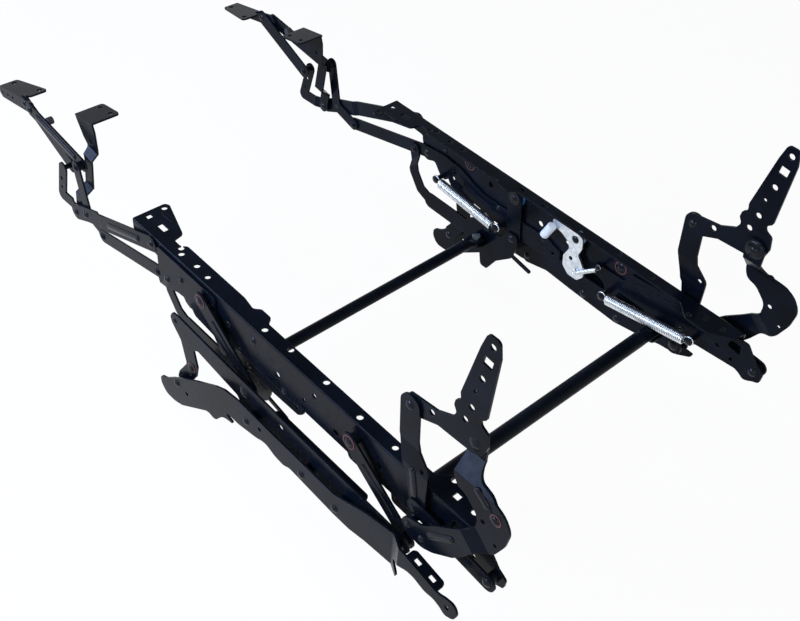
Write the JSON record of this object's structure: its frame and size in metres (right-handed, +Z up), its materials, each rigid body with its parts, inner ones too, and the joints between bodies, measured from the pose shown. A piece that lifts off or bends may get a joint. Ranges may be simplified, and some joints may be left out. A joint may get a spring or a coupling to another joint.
{
  "type": "recliner chair mechanism",
  "caption": "Recliner chair mechanism: two mirrored sides of black stamped links with an extended footrest linkage, back brackets, cross tubes, springs and a latch.",
  "frame": {"origin": "midway between the two base side plates, level with their front mounting holes", "axes": "+X to the sitter's left, -Y forward towards the footrest, +Z up"},
  "size_m": [0.584, 1.1559, 0.5406],
  "materials": {
    "coated_steel": "satin black coating",
    "zinc_steel": "zinc plated",
    "nylon": "moulded",
    "rubber": "matt"
  },
  "bodies": {
    "base": {"base_side_plate_left": "coated_steel", "base_side_plate_right": "coated_steel", "base_rail_left": "coated_steel", "base_rail_right": "coated_steel", "base_pins": "coated_steel"},
    "front_swing_links": {"front_swing_link_left": "coated_steel", "front_swing_link_right": "coated_steel"},
    "rear_swing_links": {"rear_swing_link_left": "coated_steel", "rear_swing_link_right": "coated_steel"},
    "seat_carriage": {"seat_rail_left": "coated_steel", "seat_rail_right": "coated_steel", "rail_side_plate_left": "coated_steel", "rail_side_plate_right": "coated_steel", "inner_plate_left": "coated_steel", "inner_plate_right": "coated_steel", "rear_inner_plate_left": "coated_steel", "rear_inner_plate_right": "coated_steel", "rear_upright_left": "coated_steel", "rear_upright_right": "coated_steel", "rear_cross_tube": "coated_steel", "carriage_pins": "coated_steel", "front_springs": "zinc_steel", "rear_springs": "zinc_steel", "nylon_washers": "nylon", "latch_spring": "zinc_steel"},
    "footrest_drive_links": {"footrest_drive_link_left": "coated_steel", "footrest_drive_link_right": "coated_steel", "footrest_drive_pins": "coated_steel"},
    "footrest_guide_links": {"footrest_guide_link_left": "coated_steel", "footrest_guide_link_right": "coated_steel"},
    "footrest_knee_links": {"footrest_knee_link_left": "coated_steel", "footrest_knee_link_right": "coated_steel"},
    "footrest_fold_links": {"footrest_fold_link_left": "coated_steel", "footrest_fold_link_right": "coated_steel", "footrest_mid_bracket_left": "coated_steel", "footrest_mid_bracket_right": "coated_steel"},
    "footrest_outer_arms": {"footrest_outer_arm_left": "coated_steel", "footrest_outer_arm_right": "coated_steel", "footrest_bumpers": "rubber"},
    "footrest_front_brackets": {"footrest_front_bracket_left": "coated_steel", "footrest_front_bracket_right": "coated_steel", "footrest_bracket_pins": "coated_steel"},
    "footrest_wide_arms": {"footrest_wide_arm_left": "coated_steel", "footrest_wide_arm_right": "coated_steel"},
    "lift_links": {"lift_link_left": "coated_steel", "lift_link_right": "coated_steel", "lift_pins": "coated_steel"},
    "lift_frame": {"lift_plate_left": "coated_steel", "lift_plate_right": "coated_steel", "front_cross_tube": "coated_steel", "front_tube_bolts": "zinc_steel"},
    "back_brackets": {"back_bracket_left": "coated_steel", "back_bracket_right": "coated_steel", "back_pins": "coated_steel"},
    "back_control_links": {"back_control_link_left": "coated_steel", "back_control_link_right": "coated_steel"},
    "back_bell_cranks": {"back_bell_crank_left": "coated_steel", "back_bell_crank_right": "coated_steel"},
    "latch": {"latch": "zinc_steel", "latch_cap": "nylon"}
  },
  "joints": [
    {"name": "footrest", "type": "hinge", "parent": "seat_carriage", "child": "footrest_drive_links", "pos_m": [0, -0.106, 0.198], "axis": [1, 0, 0], "range_deg": [0, 46]},
    {"name": "rear_swing", "type": "hinge", "parent": "base", "child": "rear_swing_links", "pos_m": [0, 0.436, 0.106], "axis": [1, 0, 0], "range_deg": [-14.02, 0]},
    {"name": "front_swing", "type": "hinge", "parent": "base", "child": "front_swing_links", "pos_m": [0, 0.129, 0.1085], "axis": [1, 0, 0], "range_deg": [-14.02, 0]},
    {"name": "carriage_swing", "type": "hinge", "parent": "rear_swing_links", "child": "seat_carriage", "pos_m": [0, 0.328, 0.1845], "axis": [1, 0, 0], "range_deg": [0, 14.02]},
    {"name": "footrest_guide", "type": "hinge", "parent": "seat_carriage", "child": "footrest_guide_links", "pos_m": [0, -0.071, 0.157], "axis": [1, 0, 0], "range_deg": [0, 53.12]},
    {"name": "footrest_knee", "type": "hinge", "parent": "footrest_drive_links", "child": "footrest_knee_links", "pos_m": [0, -0.3, 0.124], "axis": [1, 0, 0], "range_deg": [-56.02, 0]},
    {"name": "footrest_fold", "type": "hinge", "parent": "footrest_drive_links", "child": "footrest_fold_links", "pos_m": [0, -0.332, 0.109], "axis": [1, 0, 0], "range_deg": [-114.02, 0]},
    {"name": "footrest_arm", "type": "hinge", "parent": "footrest_knee_links", "child": "footrest_outer_arms", "pos_m": [0, -0.316, 0.201], "axis": [1, 0, 0], "range_deg": [0, 92.02]},
    {"name": "footrest_front", "type": "hinge", "parent": "footrest_outer_arms", "child": "footrest_front_brackets", "pos_m": [0, -0.4656, 0.2185], "axis": [1, 0, 0], "range_deg": [-5.02, 0]},
    {"name": "footrest_wide", "type": "hinge", "parent": "footrest_front_brackets", "child": "footrest_wide_arms", "pos_m": [0, -0.489, 0.216], "axis": [1, 0, 0], "range_deg": [0, 5.02]},
    {"name": "lift_link", "type": "hinge", "parent": "seat_carriage", "child": "lift_links", "pos_m": [0, 0.124, 0.187], "axis": [1, 0, 0], "range_deg": [0, 18.22]},
    {"name": "lift_frame", "type": "hinge", "parent": "lift_links", "child": "lift_frame", "pos_m": [0, 0.133, 0.114], "axis": [1, 0, 0], "range_deg": [-12.22, 0]},
    {"name": "recline", "type": "hinge", "parent": "seat_carriage", "child": "back_brackets", "pos_m": [0, 0.506, 0.341], "axis": [1, 0, 0], "range_deg": [-35, 0]},
    {"name": "back_control", "type": "hinge", "parent": "back_brackets", "child": "back_control_links", "pos_m": [0, 0.4136, 0.321], "axis": [1, 0, 0], "range_deg": [0, 41.82]},
    {"name": "back_crank", "type": "hinge", "parent": "seat_carriage", "child": "back_bell_cranks", "pos_m": [0, 0.562, 0.164], "axis": [1, 0, 0], "range_deg": [-31.02, 0]},
    {"name": "latch", "type": "hinge", "parent": "seat_carriage", "child": "latch", "pos_m": [0, 0.249, 0.19], "axis": [1, 0, 0], "range_deg": [0, 15], "stiffness_Nm_per_rad": 0.5, "springref_deg": -17.19}
  ],
  "couplings": [
    {"joint": "rear_swing", "follows": "footrest", "ratio": -0.30435},
    {"joint": "front_swing", "follows": "footrest", "ratio": -0.30435},
    {"joint": "carriage_swing", "follows": "footrest", "ratio": 0.30435},
    {"joint": "footrest_guide", "follows": "footrest", "ratio": 1.1543},
    {"joint": "footrest_knee", "follows": "footrest", "ratio": -1.2174},
    {"joint": "footrest_fold", "follows": "footrest", "ratio": -2.4783},
    {"joint": "footrest_arm", "follows": "footrest", "ratio": 2},
    {"joint": "footrest_front", "follows": "footrest", "ratio": -0.1087},
    {"joint": "footrest_wide", "follows": "footrest", "ratio": 0.1087},
    {"joint": "lift_link", "follows": "footrest", "ratio": 0.39565},
    {"joint": "lift_frame", "follows": "footrest", "ratio": -0.26522},
    {"joint": "back_control", "follows": "recline", "ratio": -1.1943},
    {"joint": "back_crank", "follows": "recline", "ratio": 0.88571}
  ]
}
